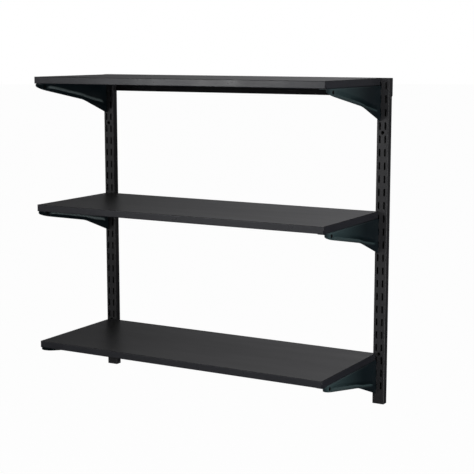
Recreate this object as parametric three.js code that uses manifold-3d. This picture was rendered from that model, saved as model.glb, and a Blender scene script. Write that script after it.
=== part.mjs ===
// Wall-hung twin-slot shelving: a hang rail, two slotted uprights, three boards on six brackets.
// Millimetres. +X runs along the wall, +Y into the wall, +Z up.
// Origin: middle of the hang rail's back face, which lies on the wall plane Y = 0.
import * as THREE from 'three';
import { mergeVertices } from 'three/addons/utils/BufferGeometryUtils.js';
import Module from 'manifold-3d';

const wasm = await Module();
wasm.setup();

// ---- driving dimensions ----
const FIT_GAP = 0.3;               // clearance between pieces that hook or screw together
const RAIL_HEIGHT = 44;
const RAIL_SHEET = 2;
const RAIL_LIP_DEPTH = 7;          // from the wall to the front of the rail's upturned lip
const RAIL_LIP_HEIGHT = 10;
const RAIL_SLOT_LENGTH = 14;       // oval wall-screw slots in the rail
const RAIL_SLOT_WIDTH = 6.5;
const RAIL_SLOT_POSITIONS = [-330, -110, 110, 330];

const UPRIGHT_SPACING = 800;       // between the two uprights' centre lines
const UPRIGHT_HEIGHT = 800;
const UPRIGHT_WIDTH = 30.5;
const UPRIGHT_DEPTH = 19.5;
const UPRIGHT_SHEET = 1.8;
const UPRIGHT_BEND = 2.2;          // outside radius of the tube's long edges

const SLOT_PITCH = 32;
const SLOT_COUNT = 24;
const SLOT_LENGTH = 17.6;
const SLOT_WIDTH = 3.7;
const SLOT_CORNER = 1.4;
const SLOT_COLUMN_SPACING = 14;
const FIRST_SLOT_DROP = 18;        // from the upright's top to the first slot's centre
const WALL_HOLE_RADIUS = 2.8;
const WALL_HOLE_SINK_RADIUS = 4.4; // rim of the countersink
const WALL_HOLE_SINK_DEPTH = 1.2;
const WALL_HOLE_STEPS = [3.5, 20.5]; // slot pitches below the first slot's centre

const BOARD_LENGTH = 800;
const BOARD_THICKNESS = 17;
const BOARD_FRONT = -327;          // distance of the board's front edge from the wall
const BOARD_BACK_GAP = 0.5;        // between a board's back edge and the uprights' faces
const BAND_THICKNESS = 2;
const BAND_RADIUS = 1.5;

const BRACKET_SHEET = 2;
const BRACKET_BEND = 2.5;          // radius of the fold's mid surface
const FLANGE_WIDTH = 20;
const NOSE_Y = -321;
const NOSE_LENGTH = 46;            // length of the rounded stretch at the tip
const NOSE_TIP_DROP = 23;          // drops are heights below the board's top
const NOSE_DROP = 28.8;            // of the lower edge's straight stretch, carried on to the tip
const KINK_Y = -125;
const KINK_DROP = 64;
const HEEL_DROP = 102.5;
const NOSE_HOLE_Y = -288;
const NOSE_HOLE_DROP = 26;
const NOSE_HOLE_RADIUS = 3.5;
const PLUG_HEAD_RADIUS = 4.6;
const PLUG_HEAD_HEIGHT = 1.2;

const BEAD_DEPTH = 4;              // pressed bead above the lower edge, towards the flange side
const BEAD_START_Y = -283;
const BEAD_RUN_IN = 22;
const BEAD_RUN_OUT = { start: 30, end: 10 }; // distances before the upright's face
const BEAD_FOOT_RISE = 1.5;        // flat rim between the lower edge and the bead
const BEAD_HEEL_LIFT = 13;         // how far the bead leaves the lower edge at the heel
const BEAD_APEX_RISE = 7;          // above the bead's foot
const BEAD_TOP_RISE = 16;
const BEAD_CROWN = 1.4;

const HOOK_SLOTS = [0, 1, 2];      // slots, counted from the one nearest the board
const HOOK_NECK = 9;
const HOOK_DROP = 6;
const HOOK_TONGUE = 4;

const SCREW_POSITIONS = { front: -262, rear: -82 };
const SCREW_INSET = 11;            // from the bracket's plate to the screw line in the flange
const SCREW_SHANK_RADIUS = 1.75;
const SCREW_LENGTH = 12;           // reach into the board
const SCREW_HEAD_RADIUS = 4;
const SCREW_HEAD_HEIGHT = 2.4;
const SCREW_RECESS = { arm: 4.2, width: 1, depth: 1.3 };

// ---- derived places ----
const RAIL_TOP = RAIL_HEIGHT / 2;
const UPRIGHT_TOP = RAIL_TOP;
const UPRIGHT_BACK = -RAIL_SHEET - FIT_GAP;
const UPRIGHT_FRONT = UPRIGHT_BACK - UPRIGHT_DEPTH;
const BOARD_BACK = UPRIGHT_FRONT - BOARD_BACK_GAP;
const SHELF_LEVELS = { top: 0, middle: 10, bottom: 21 }; // slot pitches below the uprights' top
const SIDES = { left: 1, right: -1 };                    // +1: flange towards +X
const PLATE_SHIFT = -SLOT_COLUMN_SPACING / 2;            // every bracket hooks into the left slot column

// ---- materials ----
const blackSteel = () => new THREE.MeshStandardMaterial({ color: 0x2b2c2e, roughness: 0.48, metalness: 0.35 });
const bracketSteel = () => new THREE.MeshStandardMaterial({ color: 0x1e2628, roughness: 0.42, metalness: 0.35 });
const boardFoil = () => new THREE.MeshStandardMaterial({ color: 0x3c3c3d, roughness: 0.4, metalness: 0 });
const edgeBand = () => new THREE.MeshStandardMaterial({ color: 0x36373c, roughness: 0.35, metalness: 0 });
const screwSteel = () => new THREE.MeshStandardMaterial({ color: 0x202020, roughness: 0.4, metalness: 0.8 });
const plugPlastic = () => new THREE.MeshStandardMaterial({ color: 0x0c0c0c, roughness: 0.6, metalness: 0 });

// ---- solids ----
function solid(geometry) {
  const bare = geometry.index ? geometry.toNonIndexed() : geometry.clone();
  bare.deleteAttribute('normal');
  bare.deleteAttribute('uv');
  const merged = mergeVertices(bare, 1e-4);
  return new wasm.Manifold(new wasm.Mesh({
    numProp: 3,
    vertProperties: new Float32Array(merged.attributes.position.array),
    triVerts: new Uint32Array(merged.index.array),
  }));
}

function toGeometry(manifold) {
  const mesh = manifold.getMesh();
  const geometry = new THREE.BufferGeometry();
  geometry.setAttribute('position', new THREE.BufferAttribute(new Float32Array(mesh.vertProperties), 3));
  geometry.setIndex(new THREE.BufferAttribute(new Uint32Array(mesh.triVerts), 1));
  geometry.computeVertexNormals();
  return geometry;
}

function joined(solids) {
  return solids.reduce((sum, next) => sum.add(next));
}

// A rectangle with rounded corners, centred on (0, 0).
function roundedRectangle(width, height, radius) {
  const x = width / 2;
  const y = height / 2;
  const shape = new THREE.Shape();
  shape.moveTo(x, radius - y);
  shape.lineTo(x, y - radius);
  shape.absarc(x - radius, y - radius, radius, 0, Math.PI / 2, false);
  shape.lineTo(radius - x, y);
  shape.absarc(radius - x, y - radius, radius, Math.PI / 2, Math.PI, false);
  shape.lineTo(-x, radius - y);
  shape.absarc(radius - x, radius - y, radius, Math.PI, 1.5 * Math.PI, false);
  shape.lineTo(x - radius, -y);
  shape.absarc(x - radius, radius - y, radius, 1.5 * Math.PI, 2 * Math.PI, false);
  return shape;
}

// Extrudes a shape drawn in (X, Z) along Y, from yLow to yHigh.
function alongY(shape, yLow, yHigh, curveSegments = 3) {
  const geometry = new THREE.ExtrudeGeometry(shape, { depth: yHigh - yLow, bevelEnabled: false, curveSegments });
  geometry.rotateX(Math.PI / 2);
  geometry.translate(0, yHigh, 0);
  return geometry;
}

// Extrudes a shape drawn in (Y, Z) along X, from xLow to xHigh.
function alongX(shape, xLow, xHigh, curveSegments = 3) {
  const geometry = new THREE.ExtrudeGeometry(shape, { depth: xHigh - xLow, bevelEnabled: false, curveSegments });
  const axes = new THREE.Matrix4().makeBasis(
    new THREE.Vector3(0, 1, 0), new THREE.Vector3(0, 0, 1), new THREE.Vector3(1, 0, 0));
  geometry.applyMatrix4(axes);
  geometry.translate(xLow, 0, 0);
  return geometry;
}

function polygon(points) {
  return new THREE.Shape(points.map(([a, b]) => new THREE.Vector2(a, b)));
}

// ---- hang rail ----
function hangRail() {
  const halfLength = (UPRIGHT_SPACING + UPRIGHT_WIDTH) / 2;
  const bottom = -RAIL_HEIGHT / 2;
  const profile = polygon([
    [0, bottom],
    [0, RAIL_TOP],
    [-RAIL_SHEET, RAIL_TOP],
    [-RAIL_SHEET, bottom + RAIL_SHEET],
    [RAIL_SHEET - RAIL_LIP_DEPTH, bottom + RAIL_SHEET],
    [RAIL_SHEET - RAIL_LIP_DEPTH, bottom + RAIL_LIP_HEIGHT],
    [-RAIL_LIP_DEPTH, bottom + RAIL_LIP_HEIGHT],
    [-RAIL_LIP_DEPTH, bottom],
  ]);
  const oval = roundedRectangle(RAIL_SLOT_LENGTH, RAIL_SLOT_WIDTH, RAIL_SLOT_WIDTH / 2 - 0.01);
  const cutters = RAIL_SLOT_POSITIONS.map((x) => {
    return solid(alongY(oval, -RAIL_SHEET - 1, 1, 4).translate(x, 0, 0));
  });
  return toGeometry(solid(alongX(profile, -halfLength, halfLength)).subtract(joined(cutters)));
}

// ---- uprights ----
// A folded tube's section: the sheet closed on itself.
function tubeSection() {
  const middle = UPRIGHT_DEPTH / 2;
  const wall = 2 * UPRIGHT_SHEET;
  const outer = roundedRectangle(UPRIGHT_WIDTH, UPRIGHT_DEPTH, UPRIGHT_BEND);
  const inner = roundedRectangle(UPRIGHT_WIDTH - wall, UPRIGHT_DEPTH - wall, UPRIGHT_BEND - UPRIGHT_SHEET);
  const points = (shape) => shape.getPoints(3).map((point) => new THREE.Vector2(point.x, point.y + middle));
  const section = new THREE.Shape(points(outer));
  section.holes.push(new THREE.Path(points(inner)));
  return section;
}

function slotHeight(index) {
  return UPRIGHT_TOP - FIRST_SLOT_DROP - index * SLOT_PITCH;
}

function slotCutters() {
  const slot = roundedRectangle(SLOT_WIDTH, SLOT_LENGTH, SLOT_CORNER);
  const cutters = [];
  for (let index = 0; index < SLOT_COUNT; index += 1) {
    for (const side of [-1, 1]) {
      const x = side * SLOT_COLUMN_SPACING / 2;
      const geometry = alongY(slot, UPRIGHT_FRONT - 1, UPRIGHT_FRONT + UPRIGHT_SHEET + 1, 1);
      cutters.push(solid(geometry.translate(x, 0, slotHeight(index))));
    }
  }
  return joined(cutters);
}

// Holes for wall screws through both walls, countersunk in front, on the line between the slot columns.
function wallHoleCutters() {
  const holes = WALL_HOLE_STEPS.map((steps) => {
    const z = slotHeight(steps);
    const bore = new THREE.CylinderGeometry(WALL_HOLE_RADIUS, WALL_HOLE_RADIUS, UPRIGHT_DEPTH + 2, 16);
    bore.translate(0, (UPRIGHT_FRONT + UPRIGHT_BACK) / 2, z);
    const spread = (WALL_HOLE_SINK_RADIUS - WALL_HOLE_RADIUS) / WALL_HOLE_SINK_DEPTH;
    const proud = 0.5;
    const sink = new THREE.CylinderGeometry(
      WALL_HOLE_RADIUS, WALL_HOLE_SINK_RADIUS + spread * proud, WALL_HOLE_SINK_DEPTH + proud, 16);
    sink.translate(0, UPRIGHT_FRONT + (WALL_HOLE_SINK_DEPTH - proud) / 2, z);
    return solid(bore).add(solid(sink));
  });
  return joined(holes);
}

// What the tube's back loses where it hangs on the rail: its end drops behind the rail's lip.
function railNotchCutter() {
  const railBottom = -RAIL_HEIGHT / 2;
  const lipTop = railBottom + RAIL_LIP_HEIGHT;
  const lipInside = RAIL_SHEET - RAIL_LIP_DEPTH;
  const fingerFront = lipInside + FIT_GAP;
  const fingerBottom = railBottom + RAIL_SHEET + FIT_GAP;
  const behind = 1;
  const notch = polygon([
    [behind, fingerBottom],
    [fingerFront, fingerBottom],
    [fingerFront, lipTop + FIT_GAP],
    [-RAIL_LIP_DEPTH - FIT_GAP, lipTop + FIT_GAP],
    [-RAIL_LIP_DEPTH - FIT_GAP, railBottom - FIT_GAP],
    [behind, railBottom - FIT_GAP],
  ]);
  return solid(alongX(notch, -UPRIGHT_WIDTH, UPRIGHT_WIDTH));
}

function upright() {
  const tube = new THREE.ExtrudeGeometry(tubeSection(), { depth: UPRIGHT_HEIGHT, bevelEnabled: false });
  tube.translate(0, UPRIGHT_FRONT, UPRIGHT_TOP - UPRIGHT_HEIGHT);
  return toGeometry(solid(tube)
    .subtract(slotCutters())
    .subtract(wallHoleCutters())
    .subtract(railNotchCutter()));
}

// ---- brackets: heights are drops below the board's top, with the plate in the plane X = 0 ----
function lowerEdgeDrop(y) {
  if (y > KINK_Y) {
    return THREE.MathUtils.mapLinear(y, KINK_Y, UPRIGHT_FRONT, KINK_DROP, HEEL_DROP);
  }
  const straight = THREE.MathUtils.mapLinear(y, NOSE_Y, KINK_Y, NOSE_DROP, KINK_DROP);
  const along = Math.max(0, (NOSE_Y + NOSE_LENGTH - y) / NOSE_LENGTH);
  return straight - (NOSE_DROP - NOSE_TIP_DROP) * (1 - Math.sqrt(1 - along * along));
}

// 0 at the nose and at the heel, 1 over the bead's full-depth stretch.
function beadStrength(y) {
  const { start, end } = BEAD_RUN_OUT;
  const rise = THREE.MathUtils.smoothstep(y, BEAD_START_Y, BEAD_START_Y + BEAD_RUN_IN);
  const fall = 1 - THREE.MathUtils.smoothstep(y, UPRIGHT_FRONT - start, UPRIGHT_FRONT - end);
  return rise * fall;
}

// The folded sheet's mid surface at one station, from the flange's free edge to the lower edge.
function bracketSection(y) {
  const fold = BOARD_THICKNESS + BRACKET_SHEET / 2;
  const points = [[FLANGE_WIDTH - BRACKET_SHEET / 2, fold]];
  const foldSteps = 3;
  for (let step = 0; step <= foldSteps; step += 1) {
    const turn = (step / foldSteps) * (Math.PI / 2);
    points.push([BRACKET_BEND * (1 - Math.sin(turn)), fold + BRACKET_BEND * (1 - Math.cos(turn))]);
  }
  const edge = lowerEdgeDrop(y);
  const height = edge - fold - BRACKET_BEND;
  const depth = BEAD_DEPTH * beadStrength(y);
  const scale = Math.min(1, 0.8 * height / BEAD_TOP_RISE);
  const lift = BEAD_HEEL_LIFT * THREE.MathUtils.smoothstep(y, KINK_Y, UPRIGHT_FRONT);
  const foot = edge - scale * (BEAD_FOOT_RISE + lift);
  points.push([0, foot - scale * BEAD_TOP_RISE]);
  points.push([depth * 0.88, foot - scale * (BEAD_APEX_RISE + BEAD_CROWN)]);
  points.push([depth, foot - scale * BEAD_APEX_RISE]);
  points.push([depth * 0.88, foot - scale * (BEAD_APEX_RISE - BEAD_CROWN)]);
  points.push([0, foot]);
  points.push([0, edge]);
  return points.map(([x, drop]) => new THREE.Vector2(x, -drop));
}

// Offsets a section's points by half the sheet, square to the local direction of the section.
function offsetSection(points, distance) {
  return points.map((point, index) => {
    const before = points[Math.max(index - 1, 0)];
    const after = points[Math.min(index + 1, points.length - 1)];
    const first = new THREE.Vector2().subVectors(point, before).normalize();
    const second = new THREE.Vector2().subVectors(after, point).normalize();
    const along = new THREE.Vector2().addVectors(first, second).normalize();
    const square = new THREE.Vector2(-along.y, along.x);
    const spread = Math.max(along.dot(index ? first : second), 0.5);
    return new THREE.Vector2().copy(point).addScaledVector(square, distance / spread);
  });
}

function bracketStations() {
  const stations = [];
  const noseSteps = 5;
  for (let step = 0; step < noseSteps; step += 1) {
    stations.push(NOSE_Y + NOSE_LENGTH * (1 - Math.cos((step / noseSteps) * (Math.PI / 2))));
  }
  const bendSteps = 3;
  for (let step = 0; step <= bendSteps; step += 1) {
    stations.push(BEAD_START_Y + BEAD_RUN_IN * step / bendSteps);
  }
  stations.push(KINK_Y, (KINK_Y + UPRIGHT_FRONT - BEAD_RUN_OUT.start) / 2);
  for (let step = 0; step <= bendSteps; step += 1) {
    const share = step / bendSteps;
    stations.push(UPRIGHT_FRONT - THREE.MathUtils.lerp(BEAD_RUN_OUT.start, BEAD_RUN_OUT.end, share));
  }
  stations.push(UPRIGHT_FRONT - FIT_GAP);
  return stations;
}

// A closed sheet lofted through the stations: two skins and a rim round their edges.
function bracketSheet(hand) {
  const stations = bracketStations();
  const skins = [BRACKET_SHEET / 2, -BRACKET_SHEET / 2].map((distance) => {
    return stations.map((y) => offsetSection(bracketSection(y), distance));
  });
  const across = skins[0][0].length;
  const positions = [];
  for (const skin of skins) {
    skin.forEach((section, row) => {
      section.forEach((point) => positions.push(hand * point.x, stations[row], point.y));
    });
  }
  const vertex = (skin, row, column) => (skin * stations.length + row) * across + column;
  const triangles = [];
  const quad = (a, b, c, d) => {
    if (hand > 0) triangles.push(a, b, c, a, c, d);
    else triangles.push(a, c, b, a, d, c);
  };
  const lastRow = stations.length - 1;
  const lastColumn = across - 1;
  for (let row = 0; row < lastRow; row += 1) {
    for (let column = 0; column < lastColumn; column += 1) {
      quad(vertex(0, row, column), vertex(0, row, column + 1),
        vertex(0, row + 1, column + 1), vertex(0, row + 1, column));
      quad(vertex(1, row, column), vertex(1, row + 1, column),
        vertex(1, row + 1, column + 1), vertex(1, row, column + 1));
    }
    quad(vertex(0, row, 0), vertex(0, row + 1, 0), vertex(1, row + 1, 0), vertex(1, row, 0));
    quad(vertex(0, row, lastColumn), vertex(1, row, lastColumn),
      vertex(1, row + 1, lastColumn), vertex(0, row + 1, lastColumn));
  }
  for (let column = 0; column < lastColumn; column += 1) {
    quad(vertex(0, 0, column), vertex(1, 0, column), vertex(1, 0, column + 1), vertex(0, 0, column + 1));
    quad(vertex(0, lastRow, column), vertex(0, lastRow, column + 1),
      vertex(1, lastRow, column + 1), vertex(1, lastRow, column));
  }
  const geometry = new THREE.BufferGeometry();
  geometry.setAttribute('position', new THREE.BufferAttribute(new Float32Array(positions), 3));
  geometry.setIndex(triangles);
  return solid(geometry);
}

// One hook: a neck through the slot and a tongue hanging behind the upright's face.
function hookSolid(slot) {
  const slotBottom = -FIRST_SLOT_DROP - slot * SLOT_PITCH - SLOT_LENGTH / 2;
  const neckBottom = slotBottom + FIT_GAP;
  const neckTop = neckBottom + HOOK_NECK;
  const tongueFront = UPRIGHT_FRONT + UPRIGHT_SHEET + FIT_GAP;
  const tongueBack = tongueFront + HOOK_TONGUE;
  const root = UPRIGHT_FRONT - 3;
  const outline = polygon([
    [root, neckBottom],
    [tongueFront, neckBottom],
    [tongueFront, neckBottom - HOOK_DROP + 1],
    [tongueFront + 1, neckBottom - HOOK_DROP],
    [tongueBack - 1.5, neckBottom - HOOK_DROP],
    [tongueBack, neckBottom - HOOK_DROP + 1.5],
    [tongueBack, neckTop - 3],
    [tongueBack - 3, neckTop],
    [root, neckTop],
  ]);
  return solid(alongX(outline, -BRACKET_SHEET / 2, BRACKET_SHEET / 2));
}

function bracket(hand) {
  const hooks = HOOK_SLOTS.map(hookSolid);
  const noseHole = new THREE.CylinderGeometry(NOSE_HOLE_RADIUS, NOSE_HOLE_RADIUS, 4 * BEAD_DEPTH, 16);
  noseHole.rotateZ(Math.PI / 2).translate(0, NOSE_HOLE_Y, -NOSE_HOLE_DROP);
  const screwHoles = Object.values(SCREW_POSITIONS).map((y) => {
    const hole = new THREE.CylinderGeometry(SCREW_SHANK_RADIUS + 0.5, SCREW_SHANK_RADIUS + 0.5, 8, 12);
    return solid(hole.rotateX(Math.PI / 2).translate(hand * SCREW_INSET, y, -BOARD_THICKNESS));
  });
  return toGeometry(joined([bracketSheet(hand), ...hooks])
    .subtract(solid(noseHole))
    .subtract(joined(screwHoles)));
}

// A plug pressed through the nose hole from the flange's side, flush with the plate's outer face.
function nosePlug(hand) {
  const sheet = BRACKET_SHEET / 2;
  const radius = NOSE_HOLE_RADIUS - FIT_GAP;
  const seat = sheet + FIT_GAP;
  const profile = [
    [0, -sheet],
    [radius, -sheet],
    [radius, seat],
    [PLUG_HEAD_RADIUS, seat],
    [PLUG_HEAD_RADIUS, seat + PLUG_HEAD_HEIGHT / 2],
    [PLUG_HEAD_RADIUS - 1, seat + PLUG_HEAD_HEIGHT],
    [0, seat + PLUG_HEAD_HEIGHT],
  ];
  const lathe = new THREE.LatheGeometry(profile.map(([r, x]) => new THREE.Vector2(r, x)), 16);
  return lathe.rotateZ(-hand * Math.PI / 2).translate(0, NOSE_HOLE_Y, -NOSE_HOLE_DROP);
}

// ---- boards: origin at the middle of the board's top back edge, halfway between the uprights ----
function screwPlaces() {
  const places = [];
  for (const [side, hand] of Object.entries(SIDES)) {
    const plateX = PLATE_SHIFT - hand * UPRIGHT_SPACING / 2;
    for (const [where, y] of Object.entries(SCREW_POSITIONS)) {
      places.push({ name: `${side}_${where}`, x: plateX + hand * SCREW_INSET, y });
    }
  }
  return places;
}

function board() {
  const length = BOARD_LENGTH - 2 * BAND_THICKNESS;
  const depth = BOARD_BACK - BOARD_FRONT - 2 * BAND_THICKNESS;
  const slab = new THREE.BoxGeometry(length, depth, BOARD_THICKNESS);
  slab.translate(PLATE_SHIFT, (BOARD_FRONT + BOARD_BACK) / 2, -BOARD_THICKNESS / 2);
  const pilots = screwPlaces().map(({ x, y }) => {
    const radius = SCREW_SHANK_RADIUS + FIT_GAP / 2;
    const reach = SCREW_LENGTH + 1;
    const pilot = new THREE.CylinderGeometry(radius, radius, 2 * reach, 10);
    return solid(pilot.rotateX(Math.PI / 2).translate(x, y, -BOARD_THICKNESS));
  });
  return toGeometry(solid(slab).subtract(joined(pilots)));
}

// An edging strip's section: flat against the board, rounded on its two outer edges.
function bandSection(outward) {
  const half = BOARD_THICKNESS / 2;
  const shape = new THREE.Shape();
  const outer = outward * BAND_THICKNESS;
  const centre = outward * (BAND_THICKNESS - BAND_RADIUS);
  shape.moveTo(0, -half);
  shape.lineTo(0, half);
  shape.lineTo(centre, half);
  shape.absarc(centre, half - BAND_RADIUS, BAND_RADIUS, Math.PI / 2, outward > 0 ? 0 : Math.PI, outward > 0);
  shape.lineTo(outer, BAND_RADIUS - half);
  shape.absarc(centre, BAND_RADIUS - half, BAND_RADIUS,
    outward > 0 ? 0 : Math.PI, outward > 0 ? -Math.PI / 2 : 1.5 * Math.PI, outward > 0);
  shape.lineTo(0, -half);
  return shape;
}

function bands() {
  const middle = -BOARD_THICKNESS / 2;
  const xLow = PLATE_SHIFT - BOARD_LENGTH / 2;
  const xHigh = PLATE_SHIFT + BOARD_LENGTH / 2;
  const inFront = BOARD_FRONT + BAND_THICKNESS;
  const inBack = BOARD_BACK - BAND_THICKNESS;
  return {
    front_band: alongX(bandSection(-1), xLow, xHigh).translate(0, inFront, middle),
    back_band: alongX(bandSection(1), xLow, xHigh).translate(0, inBack, middle),
    left_band: alongY(bandSection(-1), inFront, inBack).translate(xLow + BAND_THICKNESS, 0, middle),
    right_band: alongY(bandSection(1), inFront, inBack).translate(xHigh - BAND_THICKNESS, 0, middle),
  };
}

// ---- board screws: origin on the flange's underside, driven upwards ----
function boardScrew() {
  const shankTop = BRACKET_SHEET + SCREW_LENGTH;
  const tipLength = 3;
  const profile = [
    [0, -SCREW_HEAD_HEIGHT - FIT_GAP],
    [SCREW_HEAD_RADIUS * 0.7, -SCREW_HEAD_HEIGHT - FIT_GAP],
    [SCREW_HEAD_RADIUS, -SCREW_HEAD_HEIGHT * 0.45 - FIT_GAP],
    [SCREW_HEAD_RADIUS, -FIT_GAP],
    [SCREW_SHANK_RADIUS, -FIT_GAP],
    [SCREW_SHANK_RADIUS, shankTop - tipLength],
    [0, shankTop],
  ];
  const lathe = new THREE.LatheGeometry(profile.map(([r, z]) => new THREE.Vector2(r, z)), 10);
  lathe.rotateX(Math.PI / 2);
  const arms = [0, Math.PI / 2].map((turn) => {
    const arm = new THREE.BoxGeometry(SCREW_RECESS.arm, SCREW_RECESS.width, 2 * SCREW_RECESS.depth);
    return solid(arm.rotateZ(turn).translate(0, 0, -SCREW_HEAD_HEIGHT - FIT_GAP));
  });
  return toGeometry(solid(lathe).subtract(joined(arms)));
}

// ---- the assembly ----
const shelving = new THREE.Group();

function place(parent, name, geometry, material, x = 0, y = 0, z = 0) {
  const mesh = new THREE.Mesh(geometry, material);
  mesh.name = name;
  mesh.position.set(x, y, z);
  parent.add(mesh);
}

place(shelving, 'hang_rail', hangRail(), blackSteel());
for (const [side, hand] of Object.entries(SIDES)) {
  place(shelving, `upright_${side}`, upright(), blackSteel(), -hand * UPRIGHT_SPACING / 2);
}

for (const [level, pitches] of Object.entries(SHELF_LEVELS)) {
  const shelf = new THREE.Group();
  shelf.position.z = UPRIGHT_TOP - pitches * SLOT_PITCH;
  shelving.add(shelf);
  for (const [side, hand] of Object.entries(SIDES)) {
    const plateX = PLATE_SHIFT - hand * UPRIGHT_SPACING / 2;
    place(shelf, `${level}_bracket_${side}`, bracket(hand), bracketSteel(), plateX);
    place(shelf, `${level}_nose_plug_${side}`, nosePlug(hand), plugPlastic(), plateX);
  }
  place(shelf, `${level}_board`, board(), boardFoil());
  for (const [name, geometry] of Object.entries(bands())) {
    place(shelf, `${level}_${name}`, geometry, edgeBand());
  }
  for (const { name, x, y } of screwPlaces()) {
    const underFlange = -BOARD_THICKNESS - BRACKET_SHEET;
    place(shelf, `${level}_screw_${name}`, boardScrew(), screwSteel(), x, y, underFlange);
  }
}

export default shelving;
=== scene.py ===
"""Wall-hung twin-slot shelving in black: finished meshes and materials on the CAD frame. Metres, +Z up."""
from cmath import exp, phase
from math import acos, copysign, cos, pi, radians, sin, tan

import bmesh
import bpy
import numpy as np
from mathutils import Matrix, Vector
from mathutils.geometry import delaunay_2d_cdt


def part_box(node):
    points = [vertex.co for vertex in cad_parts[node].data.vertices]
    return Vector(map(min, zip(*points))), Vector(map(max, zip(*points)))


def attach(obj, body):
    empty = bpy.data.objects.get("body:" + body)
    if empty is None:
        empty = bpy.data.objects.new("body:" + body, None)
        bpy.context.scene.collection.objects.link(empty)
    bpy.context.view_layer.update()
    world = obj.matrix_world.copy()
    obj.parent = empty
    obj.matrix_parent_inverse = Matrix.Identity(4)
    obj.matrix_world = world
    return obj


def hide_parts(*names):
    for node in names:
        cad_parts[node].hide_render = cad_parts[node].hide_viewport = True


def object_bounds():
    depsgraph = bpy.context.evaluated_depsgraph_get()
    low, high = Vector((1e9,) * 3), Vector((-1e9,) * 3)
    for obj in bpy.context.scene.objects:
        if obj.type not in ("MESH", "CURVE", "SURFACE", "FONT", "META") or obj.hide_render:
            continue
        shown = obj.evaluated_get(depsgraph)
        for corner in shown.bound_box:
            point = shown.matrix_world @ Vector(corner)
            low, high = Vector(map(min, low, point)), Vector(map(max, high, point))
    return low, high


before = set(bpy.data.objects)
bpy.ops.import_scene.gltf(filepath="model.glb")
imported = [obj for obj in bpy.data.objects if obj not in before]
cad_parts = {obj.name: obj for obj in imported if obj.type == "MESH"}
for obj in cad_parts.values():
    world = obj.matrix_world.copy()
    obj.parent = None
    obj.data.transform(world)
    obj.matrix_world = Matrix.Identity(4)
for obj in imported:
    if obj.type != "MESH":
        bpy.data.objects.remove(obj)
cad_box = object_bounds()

MM = 0.001

# ---- folded steel ----
CUT_EDGE_RADIUS = 0.3 * MM         # rounding that powder coat gives a cut edge
SLOT_ROLL = 0.6 * MM               # rounding of a punched slot's rim
FOLD_STEPS = 6                     # guide lines across a fold
PROBE = 0.01 * MM                  # step for measuring slopes

UPRIGHT_SHEET = 1.8 * MM
UPRIGHT_BEND = 2.2 * MM            # outside radius
UPRIGHT_SEAM = 0.1 * MM            # open gap of the tube's seam
UPRIGHT_SEAM_SHIFT = 9 * MM        # from the middle of the back
SLOT_PITCH = 32 * MM
SLOT_COUNT = 24
SLOT_LENGTH = 17.6 * MM
SLOT_WIDTH = 3.7 * MM
SLOT_CORNER = 1.4 * MM
SLOT_COLUMN_SPACING = 14 * MM
FIRST_SLOT_DROP = 18 * MM
WALL_HOLE_RADIUS = 2.8 * MM
WALL_HOLE_SINK_RADIUS = 4.4 * MM
WALL_HOLE_SINK_DEPTH = 1.2 * MM
WALL_HOLE_STEPS = (3.5, 20.5)      # slot pitches below the first slot

RAIL_SHEET = 2 * MM
RAIL_BEND = 1.5 * MM               # mid-surface radius
RAIL_LIP_HEIGHT = 10 * MM
RAIL_SLOT_LENGTH = 14 * MM
RAIL_SLOT_WIDTH = 6.5 * MM
RAIL_SLOT_POSITIONS = (-0.33, -0.11, 0.11, 0.33)
RAIL_SEAT_GAP = 0.05 * MM          # between the rail and the uprights' backs under it
NOTCH_CORNER = 0.7 * MM            # of the notches for the rail's lip
RAIL_CORNER = 1.5 * MM
FIT_GAP = 0.3 * MM

BRACKET_SHEET = 2 * MM
BRACKET_BEND = 2.5 * MM            # mid-surface radius of the fold
FLANGE_WIDTH = 20 * MM
NOSE_LENGTH = 46 * MM              # of the rounded stretch at the tip
NOSE_TIP_DROP = 23 * MM            # drops are heights below the board's top
NOSE_DROP = 28.8 * MM              # of the lower edge's straight stretch, carried on to the tip
KINK_Y = -125 * MM
KINK_DROP = 64 * MM
KINK_ROUNDING = 12 * MM            # half the stretch over which the kink is rounded
HEEL_DROP = 102.5 * MM
NOSE_HOLE = (-288 * MM, 26 * MM)   # distance along Y, drop
NOSE_HOLE_RADIUS = 3.5 * MM
BEAD_DEPTH = 4 * MM
BEAD_START_Y = -283 * MM
BEAD_RUN_IN = 22 * MM
BEAD_RUN_OUT = (30 * MM, 10 * MM)  # distances before the upright's face
BEAD_FOOT_RISE = 1.5 * MM          # flat rim between the lower edge and the bead
BEAD_HEEL_LIFT = 13 * MM           # how far the bead leaves the lower edge at the heel
BEAD_APEX_RISE = 7 * MM            # above the bead's foot
BEAD_TOP_RISE = 16 * MM
BEAD_ROUNDING = 1.6 * MM
HOOK_COUNT = 3
HOOK_NECK = 9 * MM
HOOK_DROP = 6 * MM
HOOK_TONGUE = 4 * MM
SCREW_HOLE_RADIUS = 2.25 * MM
FLANGE_NOSE_CORNER = 3 * MM
FLANGE_HEEL_CORNER = 2 * MM
HEEL_CORNER = 1.5 * MM

# ---- boards, plugs and screws ----
BAND_RADIUS = 1.5 * MM
BAND_SEAM = 0.15 * MM              # groove between a band and its board
PLUG_RIM = 0.7 * MM                # thickness of a nose plug's outer rim
PLUG_CHAMFER = 0.3 * MM
PLUG_CLEARANCE = 0.05 * MM         # between the rim and the bracket
SCREW_HEAD_HEIGHT = 2.4 * MM
SCREW_DOME = 1.5 * MM
SCREW_TIP = 3 * MM                 # length of the tapered end
SCREW_SHANK_RADIUS = 1.75 * MM
THREAD_DEPTH = 0.45 * MM
THREAD_PITCH = 1.6 * MM
RECESS_ARM = 2.1 * MM
RECESS_HALF_WIDTH = 0.45 * MM
RECESS_DEPTH = 1.3 * MM
RECESS_ROUNDING = 0.12 * MM

LEVELS = ("top", "middle", "bottom")
HANDS = {"left": 1, "right": -1}   # +1: the flange points towards +X


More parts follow.
